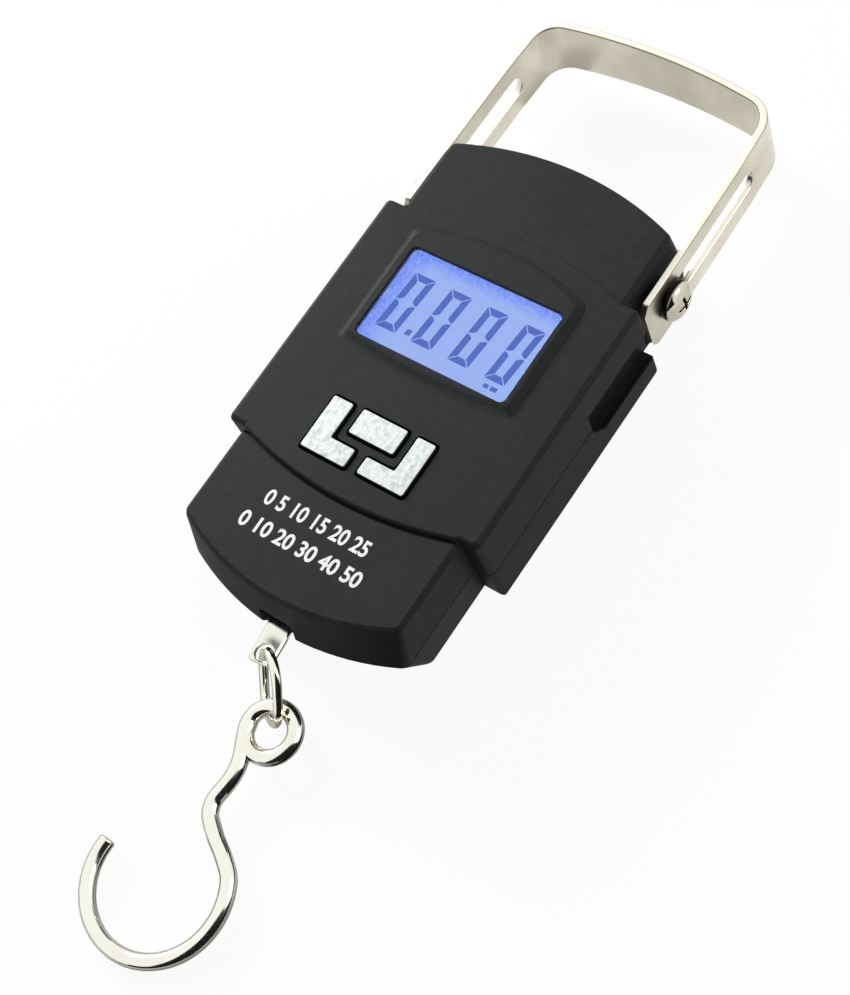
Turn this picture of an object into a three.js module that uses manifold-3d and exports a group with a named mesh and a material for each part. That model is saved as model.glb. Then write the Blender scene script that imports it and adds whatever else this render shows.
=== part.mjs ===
// A pocket hanging scale, lying on its back. Millimetres.
// +X across the display, +Y towards the handle, +Z out of the display, z = 0 is the flat back.
import * as THREE from "three";
import { mergeVertices } from "three/addons/utils/BufferGeometryUtils.js";
import Module from "manifold-3d";

const wasm = await Module();
wasm.setup();

// ---- driving dimensions ----
const WIDE_HALF = 33; // half width of the wide middle
const WIDE_END = 30.5; // half length of the wide middle
const NARROW_FACE = 23.8; // height of the front face at the narrow ends
const PANEL_FACE = 24.8; // height of the raised front panel
const BULGE_FACE = 26; // height of the rim round the display
const PARTING = 11; // height of the line between the two shells
const PARTING_GAP = 0.3;
const FLOOR = 2.4; // thickness of the back wall
const CEILING = 22.6; // underside of the front face
const CAVITY_HALF = 27;

const TOP_FRONT = { half: 28.8, apex: 54.7, corner: 49.2, r: 2 };
const TOP_PARTING = { half: 28.8, apex: 56.2, corner: 50.7, r: 2 };
const TOP_BACK = { half: 27.9, apex: 55.2, corner: 49.9, r: 2 };
const LOW_FRONT = { half: 28.8, apex: 59.6, corner: 52.6, r: 2.4 };
const LOW_PARTING = { half: 28.8, apex: 62.2, corner: 55.6, r: 2.4 };
const LOW_BACK = { half: 27.9, apex: 57.5, corner: 50.5, r: 2.4 };

const WINDOW = { x0: -19.5, x1: 19.9, y0: -1.3, y1: 22.3 };
const STRAP_Z = 13.1; // height of the middle of the handle band
const STRAP_WIDTH = 15;
const STRAP_HALF = 31.2; // half width of the handle at its feet, to the middle of the band
const STRAP_THICK = 1.6;
const SCREW_Y = 41;
const PIN_Y = -57;
const PIN_X = -1.3;
const YAW = 6; // the eye plate's turn to the right as it lies, degrees
const PLATE_Z = 10.7;
const PLATE_THICK = 1.3;
const PLATE_HALF = 2.85;
const PLATE_TIP = -70.25;
const PLATE_HOLE = { y: -67.75, r: 2.15 };
const LINK_WIRE = 1.05;
const LINK_START = new THREE.Vector3(2.18, -67.72, 13.7);
const LINK_ALONG = new THREE.Vector3(0.259, -0.658, -0.707);
const LINK_ACROSS = new THREE.Vector3(0.794, -0.272, 0.544);
const LINK_LENGTH = 15.45;
const LINK_WIDTH = 9.93;
const HOOK_WIRE = 1.85;
const EYE = new THREE.Vector3(8.38, -80.19, 4.9);
const EYE_RADIUS = 5.52;
const HOOK_LOW = { y: -133.81, z: 1.9 }; // where the hook's bend lies on the table
// Middle of the hook's wire from the eye down to the start of the round bend.
const SHANK = [
  [2.95, -80.6],
  [3.7, -83.2],
  [5.1, -86],
  [6.2, -88.6],
  [6.7, -91.5],
  [6.6, -94.3],
  [6.3, -96.4],
  [6.2, -98],
  [6.5, -99.4],
  [7.3, -100.9],
  [8.6, -102.1],
  [10, -103.2],
  [11.2, -104.1],
  [13.2, -105.3],
  [15.5, -106.8],
];
const BEND = { x: 5.95, y: -118.32, r: 15.49 };
const YOKE_BOLTS = [27.5, 33.5];
// Corners of the three button tops, anticlockwise.
const KEYS = [
  [
    [-13.9, -28.6],
    [-2.3, -28.6],
    [-2.3, -24.2],
    [-8.9, -24.2],
    [-8.9, -15.6],
    [-13.9, -15.6],
  ],
  [
    [-6.2, -21.4],
    [5.4, -21.4],
    [5.4, -15.4],
    [-6.2, -15.4],
  ],
  [
    [0.9, -28.3],
    [12.7, -28.3],
    [12.7, -15.5],
    [8.1, -15.5],
    [8.1, -24.3],
    [0.9, -24.3],
  ],
];
const KEY_SWITCHES = [
  [-10.6, -22.4],
  [-0.4, -18.4],
  [9.6, -22.4],
];
const CELL_X = 17;
const CELL_Z = 7.7;
const CELL_RADIUS = 5.25;

// ---- helpers ----
function solid(geometry) {
  geometry.deleteAttribute("normal");
  geometry.deleteAttribute("uv");
  const merged = mergeVertices(geometry, 1e-4);
  return new wasm.Manifold(
    new wasm.Mesh({
      numProp: 3,
      vertProperties: merged.attributes.position.array,
      triVerts: new Uint32Array(merged.index.array),
    }),
  );
}

function geometryOf(body) {
  const mesh = body.getMesh();
  const geometry = new THREE.BufferGeometry();
  geometry.setAttribute("position", new THREE.BufferAttribute(mesh.vertProperties, 3));
  geometry.setIndex(new THREE.BufferAttribute(mesh.triVerts, 1));
  return geometry;
}

function join(...bodies) {
  return bodies.reduce((sum, body) => sum.add(body));
}

function cut(body, ...tools) {
  return tools.reduce((rest, tool) => rest.subtract(tool), body);
}

// A plate of one outline between two heights.
function plate(points, z0, z1) {
  const shape = points instanceof THREE.Shape ? points : new THREE.Shape(points);
  const geometry = new THREE.ExtrudeGeometry(shape, {
    depth: z1 - z0,
    bevelEnabled: false,
    curveSegments: 4,
  });
  geometry.translate(0, 0, z0);
  return solid(geometry);
}

function box(x0, x1, y0, y1, z0, z1) {
  const geometry = new THREE.BoxGeometry(x1 - x0, y1 - y0, z1 - z0);
  geometry.translate((x0 + x1) / 2, (y0 + y1) / 2, (z0 + z1) / 2);
  return solid(geometry);
}

// A round bar between two points.
function bar(from, to, radius, sides = 24) {
  const a = new THREE.Vector3(...from);
  const b = new THREE.Vector3(...to);
  const geometry = new THREE.CylinderGeometry(radius, radius, a.distanceTo(b), sides);
  const turn = new THREE.Quaternion().setFromUnitVectors(
    new THREE.Vector3(0, 1, 0),
    b.clone().sub(a).normalize(),
  );
  geometry.applyQuaternion(turn);
  geometry.translate(...a.add(b).multiplyScalar(0.5).toArray());
  return solid(geometry);
}

function disc(radius, sides) {
  return new THREE.Shape(
    Array.from({ length: sides }, (_, i) => {
      const a = (2 * Math.PI * i) / sides;
      return new THREE.Vector2(radius * Math.cos(a), radius * Math.sin(a));
    }),
  );
}

// Round wire along a curve.
function wire(curve, radius, steps, sides) {
  return solid(
    new THREE.ExtrudeGeometry(disc(radius, sides), {
      steps,
      extrudePath: curve,
      bevelEnabled: false,
    }),
  );
}

// A body through several outlines, each with the same number of points.
function loft(levels) {
  const count = levels[0].points.length;
  const positions = levels.flatMap(({ z, points }) => points.flatMap((p) => [p.x, p.y, z]));
  const index = [];
  for (let k = 0; k < levels.length - 1; k++) {
    for (let i = 0; i < count; i++) {
      const a = k * count + i;
      const b = k * count + ((i + 1) % count);
      index.push(a, b, b + count, a, b + count, a + count);
    }
  }
  const last = (levels.length - 1) * count;
  for (const [a, b, c] of THREE.ShapeUtils.triangulateShape(levels[0].points, [])) {
    index.push(a, c, b);
  }
  for (const [a, b, c] of THREE.ShapeUtils.triangulateShape(levels.at(-1).points, [])) {
    index.push(last + a, last + b, last + c);
  }
  const geometry = new THREE.BufferGeometry();
  geometry.setAttribute("position", new THREE.Float32BufferAttribute(positions, 3));
  geometry.setIndex(index);
  return solid(geometry);
}

function arc(cx, cy, radius, a0, a1, steps) {
  return Array.from({ length: steps + 1 }, (_, i) => {
    const a = a0 + ((a1 - a0) * i) / steps;
    return new THREE.Vector2(cx + radius * Math.cos(a), cy + radius * Math.sin(a));
  });
}

// A bowed end with rounded corners, from its right side round to its left side.
function bowedEnd({ half, apex, corner, r }, inset = 0) {
  const sag = apex - corner;
  const radius = (half * half + sag * sag) / (2 * sag);
  const centre = apex - radius;
  const rc = Math.max(r - inset, 0.4);
  const fx = half - inset - rc;
  const fy = centre + Math.sqrt((radius - inset - rc) ** 2 - fx * fx);
  const turn = Math.atan2(fy - centre, fx);
  return [
    ...arc(fx, fy, rc, 0, turn, 4),
    ...arc(0, centre, radius - inset, turn, Math.PI - turn, 20).slice(1, -1),
    ...arc(-fx, fy, rc, Math.PI - turn, Math.PI, 4),
  ];
}

function narrowOutline(top, low, inset = 0) {
  const far = bowedEnd(low, inset).map((p) => new THREE.Vector2(-p.x, -p.y));
  return [...bowedEnd(top, inset), ...far];
}

function roundedBox(x0, x1, y0, y1, r, steps = 4) {
  const q = Math.PI / 2;
  return [
    ...arc(x1 - r, y0 + r, r, -q, 0, steps),
    ...arc(x1 - r, y1 - r, r, 0, q, steps),
    ...arc(x0 + r, y1 - r, r, q, 2 * q, steps),
    ...arc(x0 + r, y0 + r, r, 2 * q, 3 * q, steps),
  ];
}

// A bar of one side profile (y, z) running across, from x0 to x1.
function acrossBar(points, x0, x1) {
  const geometry = new THREE.ExtrudeGeometry(new THREE.Shape(points), {
    depth: x1 - x0,
    bevelEnabled: false,
  });
  const across = new THREE.Matrix4().makeBasis(
    new THREE.Vector3(0, 1, 0),
    new THREE.Vector3(0, 0, 1),
    new THREE.Vector3(1, 0, 0),
  );
  geometry.applyMatrix4(across);
  geometry.translate(x0, 0, 0);
  return solid(geometry);
}

// The outline of a strip of even thickness along a flat path.
function ribbon(path, thickness) {
  const side = path.map((p, i) => {
    const along = path[Math.min(i + 1, path.length - 1)].clone().sub(path[Math.max(i - 1, 0)]);
    along.normalize().multiplyScalar(thickness / 2);
    return new THREE.Vector2(along.y, -along.x);
  });
  const outer = path.map((p, i) => p.clone().add(side[i]));
  const inner = path.map((p, i) => p.clone().sub(side[i]));
  return [...outer, ...inner.reverse()];
}

// An outline with right-angled corners, grown outwards and with each corner rounded.
function keyShape(corners, by, r) {
  const shape = new THREE.Shape();
  corners.forEach(([x, y], i) => {
    const [px, py] = corners.at(i - 1);
    const [nx, ny] = corners[(i + 1) % corners.length];
    const a = new THREE.Vector2(x - px, y - py).normalize();
    const b = new THREE.Vector2(nx - x, ny - y).normalize();
    const v = new THREE.Vector2(x + by * (a.y + b.y), y - by * (a.x + b.x));
    const start = v.clone().addScaledVector(a, -r);
    const end = v.clone().addScaledVector(b, r);
    if (i === 0) shape.moveTo(start.x, start.y);
    else shape.lineTo(start.x, start.y);
    shape.quadraticCurveTo(v.x, v.y, end.x, end.y);
  });
  return shape;
}

function part(name, body, color, roughness, metalness) {
  const material = new THREE.MeshStandardMaterial({ color, roughness, metalness });
  const mesh = new THREE.Mesh(geometryOf(body), material);
  mesh.name = name;
  return mesh;
}

// Turns a body about the upright line through (x, y).
function turned(body, x, y, degrees) {
  return body.translate([-x, -y, 0]).rotate([0, 0, degrees]).translate([x, y, 0]);
}

// ---- the two shells ----
function strapPockets() {
  const pocket = box(29.6, 32.4, 0.5, 31, 5.3, 21.1);
  const slot = acrossBar(
    [
      new THREE.Vector2(11, 6),
      new THREE.Vector2(31, 6),
      new THREE.Vector2(31, 16.3),
      new THREE.Vector2(7.5, 16.3),
      new THREE.Vector2(7.5, 9.5),
    ],
    31.5,
    34.5,
  );
  const right = join(pocket, slot);
  return join(right, right.mirror([1, 0, 0]));
}

function caseScrewSpots() {
  return [
    [-24.8, 26.5],
    [24.8, 26.5],
    [-21, -48],
    [21, -48],
  ];
}

function handleScrewHoles() {
  return bar([-30, SCREW_Y, STRAP_Z], [30, SCREW_Y, STRAP_Z], 2.1);
}

function cavity(z0, z1, top, low) {
  const run = plate(narrowOutline({ ...top, half: 28.8 }, { ...low, half: 28.8 }, 1.8), z0, z1);
  const slim = run.intersect(box(-CAVITY_HALF, CAVITY_HALF, -70, 70, z0, z1));
  return join(slim, box(-31.2, 31.2, -28.7, -1.5, z0, z1));
}

// The raised panel, with a sloped rim that runs out over both narrow ends.
function raisedPanel() {
  const outline = (inset) => narrowOutline(
    { half: 29, apex: 34.6, corner: 30.5, r: 1.2 },
    { half: 28.6, apex: 34.8, corner: 30.5, r: 1.2 },
    inset,
  );
  return loft([
    { z: 23, points: outline(0) },
    { z: 24.1, points: outline(0) },
    { z: 24.6, points: outline(0.35) },
    { z: PANEL_FACE, points: outline(0.8) },
  ]);
}

// The shadow line along the panel's lower edge.
function panelGroove() {
  const grown = { half: 29.1, apex: 35.5, corner: 31.2, r: 1.2 };
  const band = plate(narrowOutline(grown, grown), 23.1, 24);
  return band.intersect(box(-28.3, 28.3, -36, -31, 23, 24)).subtract(raisedPanel());
}

function bulgeOutline({ half, top, low }) {
  const rise = bowedEnd({ half, apex: top, corner: top - 4.2, r: 1.8 });
  const fall = bowedEnd({ half, apex: low, corner: low - 1.6, r: 1.8 });
  return [...rise, ...fall.map((p) => new THREE.Vector2(-p.x, -p.y))];
}

function displayBulge() {
  return loft([
    { z: 24.4, points: bulgeOutline({ half: 22.9, top: 30.9, low: 5.9 }) },
    { z: PANEL_FACE, points: bulgeOutline({ half: 22.6, top: 30.6, low: 5.5 }) },
    { z: 25.7, points: bulgeOutline({ half: 21.5, top: 29.5, low: 3.4 }) },
    { z: BULGE_FACE, points: bulgeOutline({ half: 20.9, top: 28.9, low: 2.5 }) },
  ]);
}

function windowCut() {
  const { x0, x1, y0, y1 } = WINDOW;
  return plate(roundedBox(x0, x1, y0, y1, 1.4), 20, 27);
}

// The notch the eye plate comes out of, half in each shell.
function plateNotch() {
  const rounded = [
    new THREE.Vector2(-5, 6.6),
    new THREE.Vector2(4, 6.6),
    ...arc(2.2, 14.2, 1.8, 0, Math.PI / 2, 4),
    ...arc(-3.2, 14.2, 1.8, Math.PI / 2, Math.PI, 4),
  ];
  const geometry = new THREE.ExtrudeGeometry(new THREE.Shape(rounded), {
    depth: 12,
    bevelEnabled: false,
  });
  geometry.rotateX(Math.PI / 2);
  geometry.translate(0, -55, 0);
  return solid(geometry);
}

function frontShell() {
  const z0 = PARTING + PARTING_GAP / 2;
  const ends = loft([
    { z: z0, points: narrowOutline(TOP_PARTING, LOW_PARTING) },
    { z: 22.7, points: narrowOutline(TOP_FRONT, LOW_FRONT) },
    { z: 23.4, points: narrowOutline(TOP_FRONT, LOW_FRONT, 0.3) },
    { z: NARROW_FACE, points: narrowOutline(TOP_FRONT, LOW_FRONT, 1) },
  ]);
  const middle = loft([
    { z: z0, points: roundedBox(-WIDE_HALF, WIDE_HALF, -WIDE_END, WIDE_END, 1.2) },
    { z: 23.7, points: roundedBox(-WIDE_HALF, WIDE_HALF, -WIDE_END, WIDE_END, 1.2) },
    { z: 24.3, points: roundedBox(-32.7, 32.7, -30.2, 30.2, 1) },
    { z: 24.65, points: roundedBox(-32.3, 32.3, -29.8, 29.8, 0.8) },
    { z: PANEL_FACE, points: roundedBox(-31.8, 31.8, -29.3, 29.3, 0.6) },
  ]);
  const bosses = caseScrewSpots().map(([x, y]) => bar([x, y, z0], [x, y, CEILING + 0.5], 2.8));
  const holes = caseScrewSpots().map(([x, y]) => bar([x, y, 10], [x, y, 21], 1.4, 16));
  const hollow = cavity(10, CEILING, TOP_FRONT, LOW_FRONT);
  const displayRoom = box(-22.6, 22.6, -3.6, 25.4, 20, 23.6);
  const outer = cut(join(ends, middle, raisedPanel(), displayBulge()), hollow, displayRoom);
  return cut(
    join(outer, ...bosses),
    ...holes,
    windowCut(),
    ...KEYS.map((corners) => plate(keyShape(corners, 0.7, 1.1), 20, 26)),
    strapPockets(),
    handleScrewHoles(),
    plateNotch(),
    panelGroove(),
  );
}

// The back's outline seen from the side: square ends at the parting line, rounded at the back.
function backSide() {
  const r = 2;
  const q = Math.PI / 2;
  return [
    new THREE.Vector2(-WIDE_END, 12),
    ...arc(-WIDE_END + r, r, r, 2 * q, 3 * q, 4),
    ...arc(WIDE_END - r, r, r, 3 * q, 4 * q, 4),
    new THREE.Vector2(WIDE_END, 12),
  ];
}

function batteryBox() {
  const rails = [-23.8, -10.4, 9.4, 22.8].map((x) => box(x, x + 1, -28.6, 23.6, 2, 10.6));
  const ends = [
    box(-23.8, -9.4, -28.6, -27.6, 2, 10.6),
    box(9.4, 23.8, -28.6, -27.6, 2, 10.6),
    box(-23.8, -9.4, 22.6, 23.6, 2, 10.6),
    box(9.4, 23.8, 22.6, 23.6, 2, 10.6),
  ];
  return join(...rails, ...ends);
}

function backShell() {
  const z1 = PARTING - PARTING_GAP / 2;
  const ends = loft([
    { z: 0, points: narrowOutline(TOP_BACK, LOW_BACK, 0.8) },
    { z: 0.8, points: narrowOutline(TOP_BACK, LOW_BACK) },
    { z: z1, points: narrowOutline(TOP_PARTING, LOW_PARTING) },
  ]);
  const slab = loft([
    { z: 0, points: roundedBox(-32.5, 32.5, -WIDE_END, WIDE_END, 1.2) },
    { z: 0.5, points: roundedBox(-WIDE_HALF, WIDE_HALF, -WIDE_END, WIDE_END, 1.2) },
    { z: z1, points: roundedBox(-WIDE_HALF, WIDE_HALF, -WIDE_END, WIDE_END, 1.2) },
  ]);
  const middle = slab.intersect(acrossBar(backSide(), -40, 40));
  const hollow = cavity(FLOOR, 12, TOP_BACK, LOW_BACK);
  const bosses = caseScrewSpots().map(([x, y]) => bar([x, y, 1], [x, y, z1], 3.5));
  const heads = caseScrewSpots().map(([x, y]) => bar([x, y, -1], [x, y, 5.5], 2.8));
  const holes = caseScrewSpots().map(([x, y]) => bar([x, y, 0], [x, y, 12], 1.6, 16));
  return cut(
    join(cut(join(ends, middle), hollow), batteryBox(), ...bosses),
    ...heads,
    ...holes,
    box(-24.3, 24.3, -28.5, 23.5, -1, 1.9),
    box(-22.8, -10.4, -27.6, 22.6, 1, 3),
    box(10.4, 22.8, -27.6, 22.6, 1, 3),
    strapPockets(),
    plateNotch(),
  );
}

function caseScrew([x, y]) {
  const head = cut(
    bar([x, y, 3.6], [x, y, 5.2], 2.4, 20),
    box(x - 1.4, x + 1.4, y - 0.3, y + 0.3, 3, 4.3),
    box(x - 0.3, x + 0.3, y - 1.4, y + 1.4, 3, 4.3),
  );
  return join(head, bar([x, y, 5], [x, y, 18], 1.2, 14));
}

function batteryDoor() {
  const leaf = loft([
    { z: 0, points: roundedBox(-23.8, 23.8, -27.6, 23, 0.8) },
    { z: 0.3, points: roundedBox(-24, 24, -27.8, 23.2, 1) },
    { z: 1.5, points: roundedBox(-24, 24, -27.8, 23.2, 1) },
  ]);
  const grips = [17, 18.6, 20.2].map((y) => box(-7, 7, y, y + 0.8, -1, 0.6));
  return cut(leaf, ...grips);
}

// ---- buttons ----
function button(corners) {
  return join(
    plate(keyShape(corners, 1.1, 1.4), 21, 22.3),
    plate(keyShape(corners, 0, 0.8), 21, 25.3),
    plate(keyShape(corners, -0.15, 0.6), 25, 25.45),
  );
}

function keySwitch(x, y) {
  return join(box(x - 3, x + 3, y - 3, y + 3, 18.5, 19.7), bar([x, y, 19], [x, y, 20.5], 1.7));
}

// ---- display and board ----
function windowFill(gap, z0, z1) {
  const { x0, x1, y0, y1 } = WINDOW;
  return plate(roundedBox(x0 + gap, x1 - gap, y0 + gap, y1 - gap, 1.4 - gap), z0, z1);
}

// The glass: its viewing face stands up in the window, its rim is held under the front.
function displayGlass() {
  const foot = box(-21.3, 21.7, -2.5, 23.5, 20.9, 22);
  const rim = box(-21.3, 21.7, -2, 23.5, 21.8, 23.2);
  return join(foot, rim, windowFill(0.3, 23, 24.8));
}

function circuitBoard() {
  const chip = box(-24, -15, -14, -5, 15.4, 17);
  const holes = [-25, 25].map((x) => bar([x, -28, 16], [x, -28, 19], 0.7, 12));
  return cut(join(box(-26.5, 26.5, -29.5, 22.5, 16.6, 18.2), chip), ...holes);
}

// ---- cells ----
// A round cell lying along Y with its small end towards the given side.
function cell(x, small) {
  const profile = [
    [0, 0],
    [CELL_RADIUS - 0.4, 0],
    [CELL_RADIUS, 0.4],
    [CELL_RADIUS, 43.1],
    [CELL_RADIUS - 0.4, 43.5],
    [1.9, 43.5],
    [1.9, 44.5],
    [0, 44.5],
  ];
  const shape = profile.map(([r, y]) => new THREE.Vector2(r, y));
  const geometry = new THREE.LatheGeometry(shape, 32);
  if (small < 0) geometry.rotateX(Math.PI);
  geometry.translate(x, small < 0 ? 17.8 : -22.8, CELL_Z);
  return solid(geometry);
}

function contactPlate(x, y) {
  return cut(
    box(x - 4.5, x + 4.5, y - 0.25, y + 0.25, CELL_Z - 3.5, CELL_Z + 3.5),
    box(x - 0.6, x + 0.6, y - 1, y + 1, CELL_Z + 2, CELL_Z + 4),
  );
}

// A small coil that presses on the flat end of a cell.
function contactSpring(x, y, side) {
  const turns = 3;
  const points = Array.from({ length: 16 * turns + 1 }, (_, i) => {
    const a = (2 * Math.PI * i) / 16;
    const s = i / (16 * turns);
    const r = 3.4 - 1.2 * s;
    return new THREE.Vector3(x + r * Math.cos(a), y + side * 3.6 * s, CELL_Z + r * Math.sin(a));
  });
  return wire(new THREE.CatmullRomCurve3(points), 0.3, 36, 5);
}

// ---- load path ----
function loadCell() {
  const lower = box(-4.1, 1.5, -59.2, -49, 8, PLATE_Z - PLATE_THICK / 2 - 0.35);
  const upper = box(-4.1, 1.5, -59.2, -49, PLATE_Z + PLATE_THICK / 2 + 0.35, 14.6);
  const body = join(box(-6, 6, -50, 36, 7, 15), lower, upper);
  const bores = [-12, -4].map((y) => bar([-8, y, 11], [8, y, 11], 2.9));
  const bolts = YOKE_BOLTS.map((y) => bar([0, y, 10], [0, y, 16], 1.7, 20));
  const pin = bar([PIN_X, PIN_Y, 6], [PIN_X, PIN_Y, 16], 1.5, 20);
  const room = bar([PIN_X, PIN_Y, PLATE_Z - 1.2], [PIN_X, PIN_Y, PLATE_Z + 1.2], 7.4, 24);
  return cut(body, ...bores, box(-8, 8, -12, -4, 10, 12), ...bolts, pin, room);
}

function handleYoke() {
  const plateTop = join(
    box(-26.7, 26.7, 36.6, 45.4, 15.9, 17.3),
    box(-5.5, 5.5, 24, 37, 15.3, 17.3),
    box(-20, 20, 36.6, 45.4, 15.3, 17.3),
  );
  const tabs = [-26.7, 25.2].map((x) => box(x, x + 1.5, 36.6, 45.4, 8.7, 17));
  const bolts = YOKE_BOLTS.map((y) => bar([0, y, 14], [0, y, 18], 1.8, 20));
  const across = bar([-28, SCREW_Y, STRAP_Z], [28, SCREW_Y, STRAP_Z], 2.1);
  return cut(join(plateTop, ...tabs), ...bolts, across);
}

function yokeBolt(y) {
  const head = cut(bar([0, y, 17.6], [0, y, 19.4], 2.7), bar([0, y, 18.4], [0, y, 20], 1.4, 6));
  return join(head, bar([0, y, 10.6], [0, y, 18], 1.4, 16));
}

// ---- eye plate, link and hook ----
// A flat tongue on an upright pin, with the hole the link goes through.
function eyePlate() {
  const z0 = PLATE_Z - PLATE_THICK / 2;
  const z1 = PLATE_Z + PLATE_THICK / 2;
  const outline = [
    ...arc(0, PIN_Y, 3.05, 0, Math.PI, 12),
    ...arc(-PLATE_HALF + 0.5, PLATE_TIP + 0.5, 0.5, Math.PI, 1.5 * Math.PI, 3),
    ...arc(PLATE_HALF - 1.2, PLATE_TIP + 1.2, 1.2, -0.5 * Math.PI, 0, 4),
  ];
  const blank = loft([
    { z: z0, points: outline.map((p) => drawnIn(p, 0.2)) },
    { z: z0 + 0.2, points: outline },
    { z: z1 - 0.35, points: outline },
    { z: z1, points: outline.map((p) => drawnIn(p, 0.35)) },
  ]);
  const hole = bar([0, PLATE_HOLE.y, 0], [0, PLATE_HOLE.y, 20], PLATE_HOLE.r, 28);
  const pivot = bar([0, PIN_Y, 0], [0, PIN_Y, 20], 1.5, 20);
  return turned(cut(blank, hole, pivot), 0, PIN_Y, YAW).translate([PIN_X, 0, 0]);
}

// A point drawn in towards the middle of the eye plate.
function drawnIn(p, by) {
  const middle = (PIN_Y + PLATE_TIP) / 2;
  const reach = PIN_Y + PLATE_HALF - middle;
  return new THREE.Vector2(p.x * (1 - by / PLATE_HALF), middle + (p.y - middle) * (1 - by / reach));
}

// The tongue's pin, headed at both ends, through the end of the load cell.
function platePin() {
  return join(
    bar([PIN_X, PIN_Y, 7], [PIN_X, PIN_Y, 15.6], 1.2, 20),
    bar([PIN_X, PIN_Y, 7], [PIN_X, PIN_Y, 7.7], 2.2, 24),
    bar([PIN_X, PIN_Y, 14.9], [PIN_X, PIN_Y, 15.6], 2.2, 24),
  );
}

function link() {
  const r = LINK_WIDTH / 2;
  const straight = LINK_LENGTH - LINK_WIDTH;
  const flat = [
    ...arc(r, 0, r, 0.5 * Math.PI, 1.5 * Math.PI, 12),
    new THREE.Vector2(r + straight / 2, -r),
    ...arc(r + straight, 0, r, -0.5 * Math.PI, 0.5 * Math.PI, 12),
    new THREE.Vector2(r + straight / 2, r),
  ];
  const points = flat.map(({ x, y }) =>
    LINK_START.clone().addScaledVector(LINK_ALONG, x).addScaledVector(LINK_ACROSS, y),
  );
  const loop = new THREE.CatmullRomCurve3(points, true);
  return solid(new THREE.TubeGeometry(loop, 40, LINK_WIRE, 10, true));
}

const HOOK_SLOPE = (EYE.z - HOOK_LOW.z) / (EYE.y - HOOK_LOW.y);

function hookPoint([x, y]) {
  return new THREE.Vector3(x, y, HOOK_LOW.z + (y - HOOK_LOW.y) * HOOK_SLOPE);
}

function hook() {
  const eye = new THREE.TorusGeometry(EYE_RADIUS, HOOK_WIRE, 14, 32);
  eye.rotateX(Math.atan(HOOK_SLOPE));
  eye.translate(EYE.x, EYE.y, EYE.z);
  const bend = arc(BEND.x, BEND.y, BEND.r, 0.62, -3.28, 24);
  const curve = new THREE.CatmullRomCurve3(
    [...SHANK, ...bend.map((p) => [p.x, p.y])].map(hookPoint),
  );
  return join(solid(eye), wire(curve, HOOK_WIRE, 52, 14));
}

// ---- handle ----
function handlePath() {
  const r = 7;
  const half = 30.3;
  const apex = 90;
  const radius = 155;
  const centre = apex - radius;
  const fy = centre + Math.sqrt((radius - r) ** 2 - (half - r) ** 2);
  const turn = Math.atan2(fy - centre, half - r);
  const right = [
    new THREE.Vector2(STRAP_HALF, 31.6),
    new THREE.Vector2(STRAP_HALF, SCREW_Y),
    new THREE.Vector2(30.75, 72),
    new THREE.Vector2(half, fy - 2),
    ...arc(half - r, fy, r, 0, turn, 8),
    ...arc(0, centre, radius, turn, Math.PI / 2, 8).slice(1),
  ];
  const left = right.slice(0, -1).map((p) => new THREE.Vector2(-p.x, p.y));
  return [...right, ...left.reverse()];
}

function handle() {
  const z0 = STRAP_Z - STRAP_WIDTH / 2;
  const z1 = STRAP_Z + STRAP_WIDTH / 2;
  const band = plate(ribbon(handlePath(), STRAP_THICK), z0, z1);
  const slot = acrossBar(roundedBox(38.3, 75, STRAP_Z - 2.65, STRAP_Z + 2.65, 2.6), -40, 40);
  const front = [
    new THREE.Vector2(31, z1 + 1),
    new THREE.Vector2(31, z1 - 2.9),
    new THREE.Vector2(34.9, z1 + 1),
  ];
  const rear = [
    new THREE.Vector2(31, z0 - 1),
    new THREE.Vector2(34.9, z0 - 1),
    new THREE.Vector2(31, z0 + 2.4),
  ];
  return cut(band, slot, acrossBar(front, -40, 40), acrossBar(rear, -40, 40));
}

function handleScrew(side) {
  const at = (x) => [side * x, SCREW_Y, STRAP_Z];
  const head = new THREE.SphereGeometry(7.5, 32, 32);
  head.translate(side * (35.7 - 7.5), SCREW_Y, STRAP_Z);
  const dome = solid(head).intersect(bar(at(32.35), at(37), 4.75, 32));
  const y = SCREW_Y;
  const z = STRAP_Z;
  const [x0, x1] = side > 0 ? [34.4, 37] : [-37, -34.4];
  const cross = join(
    box(x0, x1, y - 2.2, y + 2.2, z - 0.4, z + 0.4),
    box(x0, x1, y - 0.4, y + 0.4, z - 2.2, z + 2.2),
  );
  return join(cut(dome, cross), bar(at(24.6), at(33), 1.8));
}

function handleSpacer(side) {
  const at = (x) => [side * x, SCREW_Y, STRAP_Z];
  return cut(bar(at(29.1), at(29.75), 3.5, 32), bar(at(28), at(31), 2.1));
}

// ---- assembly ----
const BLACK = 0x2a2b2b;
const SILVER = 0xc8c6b8;
const root = new THREE.Group();

root.add(part("back_shell", backShell(), BLACK, 0.55, 0));
root.add(part("front_shell", frontShell(), BLACK, 0.55, 0));
root.add(part("battery_door", batteryDoor(), BLACK, 0.55, 0));
root.add(part("display_lens", windowFill(0.3, 25.1, 25.6), 0xdfe6f2, 0.08, 0));
root.add(part("display_glass", displayGlass(), 0x6f86ea, 0.15, 0));
root.add(part("backlight_panel", box(-20.8, 21.2, 0, 23, 18.9, 20.6), 0x3f5bff, 0.5, 0));
root.add(part("display_connector", box(-19, 19.4, -2.3, -0.9, 18.5, 20.6), 0xb8a0a8, 0.7, 0));
root.add(part("circuit_board", circuitBoard(), 0x1f6b3a, 0.5, 0));
["left", "centre", "right"].forEach((side, i) => {
  root.add(part("button_" + side, button(KEYS[i]), 0xb9bcbe, 0.35, 0.3));
  root.add(part("key_switch_" + side, keySwitch(...KEY_SWITCHES[i]), 0x202020, 0.5, 0));
});
root.add(part("load_cell", loadCell(), 0xb7b9ba, 0.4, 1));
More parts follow.
